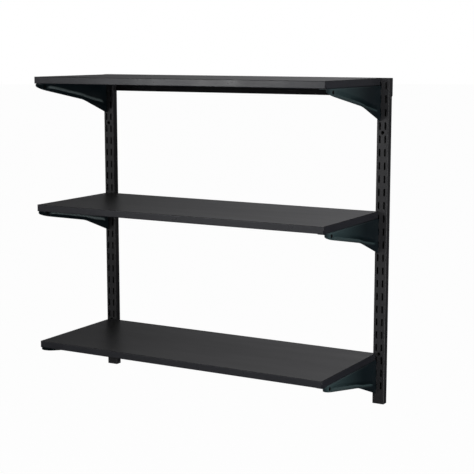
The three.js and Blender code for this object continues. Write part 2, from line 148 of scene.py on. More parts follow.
# ---- folded sheets: a flat blank drawn with complex numbers, u + v*1j, carried onto a curved surface ----
class Section:
    """A section's mid line of straight stretches and round bends: a function from the distance along it to a
    point. Steps are (length, 0) for a straight stretch and (radius, turn) for a bend, left turns positive."""

    def __init__(self, start, heading, steps):
        self.pieces = []
        distance, point = 0.0, start
        for size, turn in steps:
            self.pieces.append((distance, point, heading, size, turn))
            if turn:
                side = 1j * copysign(1, turn)
                centre = point + side * heading * size
                point = centre + (point - centre) * exp(1j * turn)
                heading *= exp(1j * turn)
                distance += size * abs(turn)
            else:
                point += heading * size
                distance += size
        self.length = distance

    def __call__(self, u):
        value = np.zeros(np.shape(u), complex)
        for index, (first, point, heading, size, turn) in enumerate(self.pieces):
            ahead = u - first
            if turn:
                sense = copysign(1, turn)
                centre = point + 1j * sense * heading * size
                here = centre + (point - centre) * np.exp(1j * sense * ahead / size)
            else:
                here = point + heading * ahead
            value = np.where((ahead >= 0) | (index == 0), here, value)
        return value


def filleted(corners, segments=6):
    """A closed loop through corners, each a (point, radius) pair, with round corners of those radii."""
    loop = []
    for index, (corner, radius) in enumerate(corners):
        if not radius:
            loop.append(corner)
            continue
        before = corners[index - 1][0] - corner
        after = corners[(index + 1) % len(corners)][0] - corner
        before /= abs(before)
        after /= abs(after)
        middle = (before + after) / abs(before + after)
        half_angle = acos(max(-1.0, min(1.0, (middle * before.conjugate()).real)))
        centre = corner + middle * radius / sin(half_angle)
        reach = radius / tan(half_angle)
        first = phase(corner + before * reach - centre)
        last = phase(corner + after * reach - centre)
        sweep = (last - first + pi) % (2 * pi) - pi
        turns = [first + sweep * step / segments for step in range(segments + 1)]
        loop += [centre + radius * exp(1j * turn) for turn in turns]
    return loop


def circle(centre, radius):
    """A clockwise loop, for a hole."""
    segments = 32
    return [centre + radius * exp(-2j * pi * step / segments) for step in range(segments)]


def oval(centre, width, height, radius, segments=5):
    """A clockwise rectangle with round corners, for a slot. Width runs along u and height along v."""
    x, y = width / 2, height / 2
    corners = (complex(-x, -y), complex(-x, y), complex(x, y), complex(x, -y))
    return filleted([(centre + corner, radius) for corner in corners], segments)


def outward(loop):
    """At each point of a loop with the sheet on its left: the way out of the sheet, longer at corners."""
    loop = np.array(loop)
    before = loop - np.roll(loop, 1)
    after = np.roll(loop, -1) - loop
    before /= np.abs(before)
    after /= np.abs(after)
    middle = before + after
    middle /= np.abs(middle)
    sharpest = 0.35
    return -1j * middle / np.maximum((middle * np.conj(after)).real, sharpest)


def round_edge(thickness, radius=CUT_EDGE_RADIUS):
    """A cut edge's profile from one skin to the other, as (outset, height) pairs."""
    steps = 3
    turns = [pi / 2 * step / steps for step in range(steps + 1)]
    upper = [(radius * sin(turn), thickness / 2 - radius * (1 - cos(turn))) for turn in turns]
    return upper + [(outset, -height) for outset, height in reversed(upper)]


def sunk_edge(thickness, radius, sink_radius, sink_depth):
    """The profile of a countersunk hole's wall, on the skin's positive side."""
    top = thickness / 2
    lip = 0.15 * MM
    reach = sink_radius - radius + lip
    back = 0.2 * MM
    return [(0, top), (lip, top - lip / 2), (reach, top - sink_depth),
            (reach, -top + back), (reach - back, -top), (0, -top)]


def enclosed(points, loops):
    """Which of these points lie inside the loops and outside their holes, by counting crossings."""
    crossings = np.zeros(len(points), int)
    for loop in loops:
        for index, end in enumerate(loop):
            start = loop[index - 1]
            if start.imag == end.imag:
                continue
            spans = (start.imag > points.imag) != (end.imag > points.imag)
            share = (points.imag - start.imag) / (end.imag - start.imag)
            crossings += spans & (points.real < start.real + share * (end.real - start.real))
    return crossings % 2 == 1


def triangulated(loops, guides):
    """Triangles inside the loops, with edges along the guides: points, triangles, and each point's loop."""
    points, edges, owners = [], [], []
    for number, loop in enumerate(loops):
        first = len(points)
        points += loop
        owners += [number] * len(loop)
        edges += [(first + index, first + (index + 1) % len(loop)) for index in range(len(loop))]
    for guide in guides:
        first = len(points)
        points += guide
        owners += [None] * len(guide)
        edges += [(first + index, first + index + 1) for index in range(len(guide) - 1)]
    flat_points = [Vector((point.real, point.imag)) / MM for point in points]
    outline_kind, nearest = 0, 1e-4
    coords, _, faces, origins, _, _ = delaunay_2d_cdt(flat_points, edges, [], outline_kind, nearest)
    flat = np.array([complex(*point) for point in coords]) * MM
    faces = np.array(faces)
    corners = flat[faces]
    faces = faces[enclosed(corners.mean(axis=1), loops)]
    a, b, c = flat[faces].T
    turned = ((b - a).conj() * (c - a)).imag < 0
    faces[turned] = faces[turned][:, ::-1]
    owner = {index: owners[origin] for index, origin_list in enumerate(origins)
             for origin in origin_list if owners[origin] is not None}
    return flat, faces, owner


def boundary_loops(faces):
    """The closed loops of edges that only one face uses, with the faces on their left."""
    directed = {(face[side], face[(side + 1) % 3]) for face in faces.tolist() for side in range(3)}
    following = {start: end for start, end in directed if (end, start) not in directed}
    loops = []
    while following:
        start, end = following.popitem()
        loop = [start, end]
        while loop[-1] != loop[0]:
            loop.append(following.pop(loop[-1]))
        loops.append(loop[:-1])
    return loops


def on_surface(surface, blank):
    """Points of the surface at these places of the blank, and its unit normals there."""
    u, v = blank.real, blank.imag
    along_u = surface(u + PROBE, v) - surface(u - PROBE, v)
    along_v = surface(u, v + PROBE) - surface(u, v - PROBE)
    normals = np.cross(along_u, along_v)
    return surface(u, v), normals / np.linalg.norm(normals, axis=1, keepdims=True)


def unit(vectors):
    return vectors / np.linalg.norm(vectors, axis=1, keepdims=True)


def folded_sheet(name, surface, thickness, loops, guides):
    """A closed sheet of even thickness. loops are (points, edge profile) pairs with the sheet on their left,
    the outline first; guides are lines that the triangles follow where the surface curves. The mesh has two
    attributes: edge is 1 round the cut edges, and inside is 1 in them and on the skin that the surface's
    normals point away from."""
    skin = 0.49 * thickness
    inset_loops = []
    for points, profile in loops:
        reach = max(outset for outset, _ in profile)
        inset_loops.append(list(np.array(points) - outward(points) * reach))
    blank, faces, owner = triangulated(inset_loops, guides)
    used = np.unique(faces)
    number = {old: new for new, old in enumerate(used.tolist())}
    faces = np.vectorize(number.get)(faces)
    blank = blank[used]
    owner = {number[old]: loop for old, loop in owner.items() if old in number}
    centre, normal = on_surface(surface, blank)
    count = len(blank)
    points = [centre + normal * thickness / 2, centre - normal * thickness / 2]
    normals = [normal, -normal]
    edge = [np.zeros(2 * count)]
    inside = [np.repeat((0.0, 1.0), count)]
    polygons = faces.tolist() + (faces[:, ::-1] + count).tolist()
    total = 2 * count
    for loop in boundary_loops(faces):
        profile = loops[next(owner[index] for index in loop if index in owner)][1]
        away = outward(blank[loop])
        rings = [loop]
        for step in range(1, len(profile) - 1):
            outset, height = profile[step]
            place, square = on_surface(surface, blank[loop] + away * outset)
            beyond, _ = on_surface(surface, blank[loop] + away * (outset + PROBE))
            ahead = np.subtract(profile[step + 1], profile[step])
            behind = np.subtract(profile[step], profile[step - 1])
            along = ahead / np.linalg.norm(ahead) + behind / np.linalg.norm(behind)
            points.append(place + square * height)
            normals.append(unit(unit(beyond - place) * -along[1] + square * along[0]))
            edge.append(np.ones(len(loop)))
            inside.append(np.full(len(loop), float(height < skin)))
            rings.append(list(range(total, total + len(loop))))
            total += len(loop)
        rings.append([index + count for index in loop])
        for upper, lower in zip(rings, rings[1:]):
            for index in range(len(loop)):
                polygons.append((upper[index], upper[index - 1], lower[index - 1], lower[index]))
    mesh = bpy.data.meshes.new(name)
    mesh.from_pydata(np.concatenate(points).tolist(), [], polygons)
    mesh.polygons.foreach_set("use_smooth", [True] * len(mesh.polygons))
    for attribute, values in (("edge", edge), ("inside", inside)):
        mesh.attributes.new(attribute, "FLOAT", "POINT").data.foreach_set("value", np.concatenate(values))
    mesh.normals_split_custom_set_from_vertices(np.concatenate(normals).tolist())
    return mesh


# ---- uprights ----
def upright_mesh(name, box):
    """A roll-formed tube: one sheet bent round four times, with its edges meeting in a seam down the back."""
    low, high = box
    half = UPRIGHT_SHEET / 2
    radius = UPRIGHT_BEND - half
    bend = radius * pi / 2
    side = high.y - low.y - 2 * UPRIGHT_BEND
    face = high.x - low.x - 2 * UPRIGHT_BEND
    seam = UPRIGHT_SEAM_SHIFT - UPRIGHT_SEAM / 2
    backs = (face / 2 + seam, face / 2 - UPRIGHT_SEAM_SHIFT - UPRIGHT_SEAM / 2)
    turn = (radius, pi / 2)
    section = Section(complex((low.x + high.x) / 2 + seam, high.y - half), -1, [
        (backs[0], 0), turn, (side, 0), turn, (face, 0), turn, (side, 0), turn, (backs[1], 0)])
    folds = (backs[0], backs[0] + bend + side)
    folds += (folds[1] + bend + face, folds[1] + 2 * bend + face + side)
    middle = folds[1] + bend + face / 2

    def surface(u, v):
        place = section(u)
        return np.stack([place.real, place.imag, v], axis=1)

    cut = round_edge(UPRIGHT_SHEET)
    punched = round_edge(UPRIGHT_SHEET, SLOT_ROLL)
    outline = upright_outline(section.length, [back + bend for back in backs], low, high)
    loops = [(outline, cut)]
    for step in range(SLOT_COUNT):
        height = high.z - FIRST_SLOT_DROP - step * SLOT_PITCH
        for column in (-SLOT_COLUMN_SPACING / 2, SLOT_COLUMN_SPACING / 2):
            slot = oval(complex(middle + column, height), SLOT_WIDTH, SLOT_LENGTH, SLOT_CORNER)
            loops.append((slot, punched))
    sunk = sunk_edge(UPRIGHT_SHEET, WALL_HOLE_RADIUS, WALL_HOLE_SINK_RADIUS, WALL_HOLE_SINK_DEPTH)
    for steps in WALL_HOLE_STEPS:
        height = high.z - FIRST_SLOT_DROP - steps * SLOT_PITCH
        loops.append((circle(complex(middle, height), WALL_HOLE_RADIUS), sunk))
        loops.append((circle(complex(seam, height), WALL_HOLE_RADIUS), cut))

    guides = []
    for start in folds:
        for step in range(FOLD_STEPS + 1):
            u = start + bend * step / FOLD_STEPS
            guides.append([complex(u, low.z), complex(u, high.z)])
    for step in range(SLOT_COUNT + 1):
        height = high.z - FIRST_SLOT_DROP - (step - 0.5) * SLOT_PITCH
        guides.append([complex(0, height), complex(section.length, height)])
    return folded_sheet(name, surface, UPRIGHT_SHEET, loops, guides)


def upright_outline(around, leads, low, high):
    """The blank's outline: a strip with a notch in each edge, so that the tube's end drops behind the rail's
    lip. leads are the two blank edges' distances to where the tube's sides start."""
    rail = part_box("hang_rail")[0]
    foot = rail.z - RAIL_SEAT_GAP
    finger_tip = rail.z + RAIL_SHEET + FIT_GAP
    lip_top = rail.z + RAIL_LIP_HEIGHT + FIT_GAP
    lip_front = high.y - UPRIGHT_BEND - (rail.y - FIT_GAP)
    lip_back = high.y - UPRIGHT_BEND - (rail.y + RAIL_SHEET + FIT_GAP)
    edges = []
    for lead in leads:
        front, back = lead + lip_front, lead + lip_back
        edges.append([(0, low.z), (0, foot), (front, foot), (front, lip_top), (back, lip_top),
                      (back, finger_tip), (0, finger_tip), (0, high.z)])
    left, right = edges
    corners = [complex(around - reach, height) for reach, height in right]
    corners += [complex(reach, height) for reach, height in reversed(left)]
    return filleted([(corner, NOTCH_CORNER) for corner in corners], 3)


# ---- hang rail ----
def rail_mesh(name, box):
    """A J-shaped strip: a plate on the wall, a web forward at its foot, and a lip up in front."""
    low, high = box
    half = RAIL_SHEET / 2
    plate = high.z - low.z - half - RAIL_BEND
    web = high.y - low.y - RAIL_SHEET - 2 * RAIL_BEND
    lip = RAIL_LIP_HEIGHT - half - RAIL_BEND
    section = Section(complex(high.y - half, high.z), -1j,
                      [(plate, 0), (RAIL_BEND, -pi / 2), (web, 0), (RAIL_BEND, -pi / 2), (lip, 0)])

    def surface(u, v):
        place = section(u)
        return np.stack([v, place.real, place.imag], axis=1)

    cut = round_edge(RAIL_SHEET)
    end = section.length
    corners = (complex(0, low.x), complex(end, low.x), complex(end, high.x), complex(0, high.x))
    loops = [(filleted([(corner, RAIL_CORNER) for corner in corners]), cut)]
    nearly_round = 0.49 * RAIL_SLOT_WIDTH
    for x in RAIL_SLOT_POSITIONS:
        centre = complex((high.z - low.z) / 2, x)
        loops.append((oval(centre, RAIL_SLOT_WIDTH, RAIL_SLOT_LENGTH, nearly_round, 8), cut))
    guides = []
    bend = RAIL_BEND * pi / 2
    for start in (plate, plate + bend + web):
        for step in range(FOLD_STEPS + 1):
            u = start + bend * step / FOLD_STEPS
            guides.append([complex(u, low.x), complex(u, high.x)])
    return folded_sheet(name, surface, RAIL_SHEET, loops, guides)


# ---- brackets ----
def ramp(x, rounding):
    """0 below 0 and x above it, with the corner rounded over a stretch each way."""
    near = (x + rounding) ** 2 / (4 * rounding)
    return np.where(x < -rounding, 0.0, np.where(x > rounding, x, near))


def smoothstep(x, low, high):
    share = np.clip((x - low) / (high - low), 0, 1)
    return share * share * (3 - 2 * share)


class Bracket:
    """The bracket's shape in the blank: u across the sheet from the flange's free edge, v along Y."""

    def __init__(self, level, side):
        low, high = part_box(f"{level}_bracket_{side}")
        self.hand = HANDS[side]
        self.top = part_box(f"{level}_board")[1].z
        self.plate_x = (low.x if self.hand > 0 else high.x) + self.hand * BRACKET_SHEET / 2
        self.tip = low.y
        self.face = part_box("upright_left")[0].y
        self.heel = self.face - FIT_GAP
        board_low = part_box(f"{level}_board")[0].z
        self.flange_drop = self.top - board_low + BRACKET_SHEET / 2
        self.flange = FLANGE_WIDTH - BRACKET_SHEET / 2 - BRACKET_BEND
        self.bend = BRACKET_BEND * pi / 2
        self.plate_drop = self.flange_drop + BRACKET_BEND
        self.section = Section(complex(FLANGE_WIDTH - BRACKET_SHEET / 2, -self.flange_drop), -1,
                               [(self.flange, 0), (BRACKET_BEND, pi / 2), (HEEL_DROP, 0)])

    def across(self, drop):
        """The blank's u at a drop on the plate."""
        return self.flange + self.bend + drop - self.plate_drop

    def lower_edge(self, y):
        """The lower edge's drop behind the nose, straight to the rounded kink and from it to the heel."""
        fore_slope = (KINK_DROP - NOSE_DROP) / (KINK_Y - self.tip)
        rear_slope = (HEEL_DROP - KINK_DROP) / (self.face - KINK_Y)
        fore = NOSE_DROP + fore_slope * (y - self.tip)
        return fore + (rear_slope - fore_slope) * ramp(y - KINK_Y, KINK_ROUNDING)

    def bead_scale(self, y):
        """How much the bead shrinks where the plate is too low for it."""
        room = np.maximum(self.lower_edge(y) - self.plate_drop, MM)
        return np.minimum(1, 0.8 * room / BEAD_TOP_RISE)

    def bead_foot(self, y):
        """How far the bead's lower side stands above the lower edge."""
        return BEAD_FOOT_RISE + BEAD_HEEL_LIFT * smoothstep(y, KINK_Y, self.face)

    def bead(self, y, drop):
        """How far the pressed bead pushes the plate towards the flange's side."""
        run_out_start, run_out_end = BEAD_RUN_OUT
        fade = smoothstep(y, BEAD_START_Y, BEAD_START_Y + BEAD_RUN_IN)
        fade = fade * (1 - smoothstep(y, self.face - run_out_start, self.face - run_out_end))
        rise = (self.lower_edge(y) - drop) / self.bead_scale(y) - self.bead_foot(y)
        upper = BEAD_DEPTH / (BEAD_TOP_RISE - BEAD_APEX_RISE)
        lower = BEAD_DEPTH / BEAD_APEX_RISE
        height = upper * ramp(BEAD_TOP_RISE - rise, BEAD_ROUNDING)
        height = height - (upper + lower) * ramp(BEAD_APEX_RISE - rise, BEAD_ROUNDING)
        height = height + lower * ramp(-rise, BEAD_ROUNDING)
        return fade * height

    def surface(self, u, v):
        place = self.section(u)
        on_plate = u > self.flange + self.bend
        push = np.where(on_plate, self.bead(v, -place.imag), 0.0)
        return np.stack([self.plate_x + self.hand * (place.real + push), v, self.top + place.imag], axis=1)

    def outline(self):
        nose_steps = 10
        corners = [(complex(0, self.tip), FLANGE_NOSE_CORNER)]
        for step in range(nose_steps + 1):
            turn = pi / 2 * step / nose_steps
            y = self.tip + NOSE_LENGTH * (1 - cos(turn))
            drop = float(self.lower_edge(y)) - (NOSE_DROP - NOSE_TIP_DROP) * (1 - sin(turn))
            corners.append((complex(self.across(drop), y), 0))
        for y in np.linspace(KINK_Y - KINK_ROUNDING, KINK_Y + KINK_ROUNDING, 9):
            corners.append((complex(self.across(float(self.lower_edge(y))), y), 0))
        corners.append((complex(self.across(HEEL_DROP), self.heel), HEEL_CORNER))
        for slot in reversed(range(HOOK_COUNT)):
            corners += self.hook(slot)
        corners.append((complex(0, self.heel), FLANGE_HEEL_CORNER))
        return filleted(corners, 5)

    def hook(self, slot):
        """A neck through the slot and a tongue hanging behind the upright's face, from its lower root up."""
        neck_bottom = FIRST_SLOT_DROP + slot * SLOT_PITCH + SLOT_LENGTH / 2 - FIT_GAP
        neck_top = max(neck_bottom - HOOK_NECK, self.plate_drop + 0.5 * MM)
        tongue_front = self.face + UPRIGHT_SHEET + FIT_GAP
        tongue_back = tongue_front + HOOK_TONGUE
        tongue_bottom = neck_bottom + HOOK_DROP
        corners = [
            (neck_bottom, self.heel, 0.2), (neck_bottom, tongue_front, 0.4),
            (tongue_bottom, tongue_front, 1), (tongue_bottom, tongue_back, 1.5),
            (neck_top, tongue_back, 2.5), (neck_top, self.heel, 0.2)]
        return [(complex(self.across(drop), y), radius * MM) for drop, y, radius in corners]

    def guides(self):
        """Lines along the fold and the bead, close together where the surface curves."""
        lines = []
        for step in range(FOLD_STEPS + 1):
            u = self.flange + self.bend * step / FOLD_STEPS
            lines.append([complex(u, self.tip), complex(u, self.heel)])
        run_out_start, run_out_end = BEAD_RUN_OUT
        fade_in = np.linspace(BEAD_START_Y, BEAD_START_Y + BEAD_RUN_IN, 12)
        middle = np.linspace(BEAD_START_Y + 2 * BEAD_RUN_IN, KINK_Y - 2 * KINK_ROUNDING, 5)
        kink = np.linspace(KINK_Y - KINK_ROUNDING, KINK_Y + KINK_ROUNDING, 9)
        rear = np.linspace(KINK_Y + 2 * KINK_ROUNDING, self.face - 1.2 * run_out_start, 4)
        fade_out = np.linspace(self.face - run_out_start, self.face - run_out_end, 11)
        stations = np.concatenate([fade_in, middle, kink, rear, fade_out])
        edge = self.lower_edge(stations)
        foot = self.bead_foot(stations)
        scale = self.bead_scale(stations)
        levels = [0.5 * BEAD_APEX_RISE]
        for rise, steps in ((0, 5), (BEAD_APEX_RISE, 7), (BEAD_TOP_RISE, 5)):
            levels += list(rise + BEAD_ROUNDING * np.linspace(-0.9, 0.9, steps))
        for rise in levels:
            drops = edge - (foot + rise) * scale
            lines.append([complex(self.across(drop), y) for drop, y in zip(drops, stations)])
        for y, drop in zip(stations, edge):
            lines.append([complex(self.across(self.plate_drop), y), complex(self.across(drop), y)])
        return lines

    def mesh(self, name, screw_places):
        cut = round_edge(BRACKET_SHEET)
        loops = [(self.outline(), cut)]
        hole_y, hole_drop = NOSE_HOLE
        loops.append((circle(complex(self.across(hole_drop), hole_y), NOSE_HOLE_RADIUS), cut))
        for x, y in screw_places:
            inset = FLANGE_WIDTH - BRACKET_SHEET / 2 - abs(x - self.plate_x)
            loops.append((circle(complex(inset, y), SCREW_HOLE_RADIUS), cut))
        mesh = folded_sheet(name, self.surface, BRACKET_SHEET, loops, self.guides())
        self.mark_light_masks(mesh)
        return mesh

    # these attributes mask the bracket's painted sheen, painted shade and painted highlights
    def mark_light_masks(self, mesh):
        """Adds three attributes: crown is 1 on top of the bead, on the flange's side. On the other side
        groove is 1 at the bottom of the bead's groove, and fore goes from 0 at the heel to 1 at the nose."""
        count = len(mesh.vertices)
        places = np.empty(3 * count)
        normals = np.empty(3 * count)
        mesh.vertices.foreach_get("co", places)
        mesh.vertex_normals.foreach_get("vector", normals)
        places, normals = places.reshape(-1, 3), normals.reshape(-1, 3)
        drops = self.top - places[:, 2]
        height = self.bead(places[:, 1], drops) / BEAD_DEPTH
        on_flange_side = self.hand * normals[:, 0] > 0.3
        height[drops < self.plate_drop] = 0
        crown = np.where(on_flange_side, height, 0.0)
        fore = np.where(on_flange_side, 0.0, (self.face - places[:, 1]) / (self.face - self.tip))
        for attribute, values in (("crown", crown), ("groove", height - crown), ("fore", fore)):
            mesh.attributes.new(attribute, "FLOAT", "POINT").data.foreach_set("value", values)


# ---- edge bands ----
def band_mesh(name, box, axis, sense):
    """An edging strip whose outer side, at that end of that axis, has round edges."""
    low, high = box
    bm = bmesh.new()
    bmesh.ops.create_cube(bm, size=1)
    bmesh.ops.scale(bm, vec=high - low, verts=bm.verts)
    bmesh.ops.translate(bm, vec=(low + high) / 2, verts=bm.verts)
    outer = high[axis] if sense > 0 else low[axis]
    same = 1e-6

    def at_side(edge, place):
        return all(abs(vertex.co[axis] - place) < same for vertex in edge.verts)

    def runs_along_board(edge):
        start, end = (vertex.co[1 - axis] for vertex in edge.verts)
        return abs(start - end) > same

    inner = low[axis] + high[axis] - outer
    seams = [edge for edge in bm.edges if at_side(edge, inner) and runs_along_board(edge)]
    bmesh.ops.bevel(bm, geom=seams, offset=BAND_SEAM, segments=2, profile=0.5, affect="EDGES")
    rounded = [edge for edge in bm.edges
               if at_side(edge, outer) and (axis == 1 or runs_along_board(edge))]
    bmesh.ops.bevel(bm, geom=rounded, offset=BAND_RADIUS, segments=8, profile=0.5, affect="EDGES")
    mesh = bpy.data.meshes.new(name)
    bm.to_mesh(mesh)
    bm.free()
    mesh.polygons.foreach_set("use_smooth", [True] * len(mesh.polygons))
    return mesh


# ---- board screws ----
def screw_mesh(name, box):
    """A pan-head screw driven upwards: a domed head with a cross recess and a threaded shank."""
    low, high = box
    centre = (low + high) / 2
    head = (high.x - low.x) / 2
    seat = low.z + SCREW_HEAD_HEIGHT
    around = 48
    angles = 2 * pi * np.arange(around) / around
    rings = []
    for share in np.linspace(0.04, 1, 22):
        bulge = SCREW_DOME * (1 - (1 - share ** 3) ** (1 / 3))
        rings.append((share * head, low.z + bulge, 0, True))
    rings.append((head, seat, 0, False))
    rings.append((SCREW_SHANK_RADIUS, seat, 0, False))
    for height in np.arange(seat + 0.2 * MM, high.z - 0.1 * MM, THREAD_PITCH / 7):
        taper = min(1, (high.z - height) / SCREW_TIP)
        core = (SCREW_SHANK_RADIUS - THREAD_DEPTH) * taper
        rings.append((core, height, THREAD_DEPTH * taper, False))
    points = [(centre.x, centre.y, low.z + RECESS_DEPTH)]
    for radius, height, thread, has_recess in rings:
        x, y = radius * np.cos(angles), radius * np.sin(angles)
        z = np.full(around, height)
        if has_recess:
            z = z + recess(x, y)
        if thread:
            turns = (height / THREAD_PITCH - angles / (2 * pi)) % 1
            half_ridge = 0.32
            ridge = thread * np.clip(1 - np.abs(turns - 0.5) / half_ridge, 0, 1)
            x, y = x + ridge * np.cos(angles), y + ridge * np.sin(angles)
        points += list(zip(x + centre.x, y + centre.y, z))
    points.append((centre.x, centre.y, high.z))
    return closed_rings(name, points, around)


# ---- nose plugs ----
def plug_mesh(name, box, hand):
    """A plug across the bracket's plate: a thin dished rim outside and a domed head on the flange's side."""
    low, high = box
    centre = (low + high) / 2
    head = (high.z - low.z) / 2
    shank = NOSE_HOLE_RADIUS - FIT_GAP
    length = high.x - low.x
    seat = BRACKET_SHEET + FIT_GAP
    shoulder = head - PLUG_CHAMFER
    brim = length - 2 * PLUG_CHAMFER
    profile = [(0.55 * head, -PLUG_RIM / 2), (0.75 * head, -0.9 * PLUG_RIM), (shoulder, -PLUG_RIM),
               (head, PLUG_CHAMFER - PLUG_RIM), (head, -PLUG_CLEARANCE), (shank, -PLUG_CLEARANCE),
               (shank, seat), (shoulder, seat), (head, seat + PLUG_CHAMFER), (head, brim)]
    for share in np.linspace(0.95, 0.1, 10):
        profile.append((share * head, length - (length - brim) * share ** 3))
    around = 40
    angles = hand * 2 * pi * np.arange(around) / around
    outer = low.x if hand > 0 else high.x
    points = [(outer - hand * PLUG_RIM / 3, centre.y, centre.z)]
    for radius, depth in profile:
        rim = zip(centre.y + radius * np.cos(angles), centre.z + radius * np.sin(angles))
        points += [(outer + hand * depth, y, z) for y, z in rim]
    points.append((outer + hand * length, centre.y, centre.z))
    return closed_rings(name, points, around)


def closed_rings(name, points, around):
    """A closed mesh from a first point, rings of that many points, and a last point."""
    rings = (len(points) - 2) // around
    faces = [(0, 1 + (step + 1) % around, 1 + step) for step in range(around)]
    for ring in range(rings - 1):
        first = 1 + ring * around
        for step in range(around):
            here, beside = first + step, first + (step + 1) % around
            faces.append((here, beside, beside + around, here + around))
    last = 1 + (rings - 1) * around
    faces += [(len(points) - 1, last + step, last + (step + 1) % around) for step in range(around)]
    mesh = bpy.data.meshes.new(name)
    mesh.from_pydata(points, [], faces)
    mesh.polygons.foreach_set("use_smooth", [True] * len(mesh.polygons))
    mesh.set_sharp_from_angle(angle=radians(40))
    return mesh


def recess(x, y):
    """How far the cross recess sinks into the head."""
    depth = np.zeros_like(x)
    for along, across in ((x, y), (y, x)):
        wall = RECESS_HALF_WIDTH + RECESS_ROUNDING - np.abs(across)
        inside = smoothstep(wall, 0, 2 * RECESS_ROUNDING)
        inside = inside * smoothstep(RECESS_ARM - np.abs(along), 0, 5 * RECESS_ROUNDING)
        depth = np.maximum(depth, inside)
    return RECESS_DEPTH * depth


# ---- materials ----
def rgb(red, green, blue):
    return (red, green, blue, 1.0)


DUST = rgb(0.085, 0.082, 0.08)
# painted shade: near black for the inside of the upright tubes and their slot walls
INSIDE_SHADE = rgb(0.0015, 0.0015, 0.0015)
BRACKET_NOSE_SHEEN = rgb(0.046, 0.076, 0.080)    # painted sheen: the plate lighter towards the nose, for light falling off towards the heel
BRACKET_GROOVE_SHADE = rgb(0.003, 0.008, 0.010)      # painted shade in the bead's groove, towards the heel
BRACKET_LEDGE_HIGHLIGHT = rgb(0.048, 0.080, 0.084)      # painted highlight on the groove's lower wall
BRACKET_CROWN_HIGHLIGHT = rgb(0.20, 0.25, 0.255)     # painted highlight on the bead's crown


class Shader:
    """A Principled material built from named node steps in the part's own coordinates."""

    def __init__(self, name, metallic=0.0, specular=0.5):
        self.material = bpy.data.materials.new(name)
        self.material.use_nodes = True
        self.tree = self.material.node_tree
        self.principled = self.tree.nodes["Principled BSDF"]
        self.principled.inputs["Metallic"].default_value = metallic
        self.principled.inputs["Specular IOR Level"].default_value = specular
        self.place = self.node("ShaderNodeTexCoord").outputs["Object"]

    def node(self, kind, **settings):
        made = self.tree.nodes.new(kind)
        for key, value in settings.items():
            setattr(made, key, value)
        return made

    def link(self, output, target):
        self.tree.links.new(output, target)

    def set(self, socket, value):
        if isinstance(value, bpy.types.NodeSocket):
            self.link(value, socket)
        else:
            socket.default_value = value

    def noise(self, scale, detail=3.0, roughness=0.55, stretch=(1, 1, 1), offset=(0, 0, 0)):
        mapping = self.node("ShaderNodeMapping")
        mapping.inputs["Scale"].default_value = stretch
        mapping.inputs["Location"].default_value = offset
        self.link(self.place, mapping.inputs["Vector"])
        texture = self.node("ShaderNodeTexNoise")
        texture.inputs["Scale"].default_value = scale
        texture.inputs["Detail"].default_value = detail
        texture.inputs["Roughness"].default_value = roughness
        self.link(mapping.outputs["Vector"], texture.inputs["Vector"])
        return texture.outputs["Fac"]

    def cells(self, scale, feature="F1"):
        texture = self.node("ShaderNodeTexVoronoi", feature=feature)
        texture.inputs["Scale"].default_value = scale
        self.link(self.place, texture.inputs["Vector"])
        return texture.outputs["Distance"]

    def spread(self, value, low, high, to_low=0.0, to_high=1.0):
        """Carries value from the range low..high to the range to_low..to_high, held at its ends."""
        ranged = self.node("ShaderNodeMapRange")
        self.set(ranged.inputs["Value"], value)
        ranged.inputs["From Min"].default_value = low
        ranged.inputs["From Max"].default_value = high
        ranged.inputs["To Min"].default_value = to_low
        ranged.inputs["To Max"].default_value = to_high
        return ranged.outputs["Result"]

    def maths(self, operation, first, second):
        step = self.node("ShaderNodeMath", operation=operation)
        self.set(step.inputs[0], first)
        self.set(step.inputs[1], second)
        return step.outputs["Value"]

    def mix(self, factor, first, second):
        step = self.node("ShaderNodeMix", data_type="RGBA")
        self.set(step.inputs["Factor"], factor)
        self.set(step.inputs["A"], first)
        self.set(step.inputs["B"], second)
        return step.outputs["Result"]

    def attribute(self, name):
        return self.node("ShaderNodeAttribute", attribute_name=name).outputs["Fac"]

    def facing(self, low, high):
        """0 to 1 as the surface's upward tilt goes from low to high."""
        separate = self.node("ShaderNodeSeparateXYZ")
        self.link(self.node("ShaderNodeNewGeometry").outputs["Normal"], separate.inputs["Vector"])
        return self.spread(separate.outputs["Z"], low, high)

    def facing_up(self):
        """1 on surfaces that look up, where dust settles."""
        return self.facing(0.6, 0.95)

    def leaning_up(self):
        """1 on walls that lean back a little; it masks painted highlights on walls that tilt up towards the
        light.
        """
        return self.facing(-0.15, 0.2)

    def finish(self, colour, roughness, height, strength, depth):
        """Joins colour, roughness and a height pattern to the shader."""
        self.link(colour, self.principled.inputs["Base Color"])
        self.link(roughness, self.principled.inputs["Roughness"])
        bump = self.node("ShaderNodeBump")
        bump.inputs["Strength"].default_value = strength
        bump.inputs["Distance"].default_value = depth
        self.link(height, bump.inputs["Height"])
        self.link(bump.outputs["Normal"], self.principled.inputs["Normal"])
        return self.material


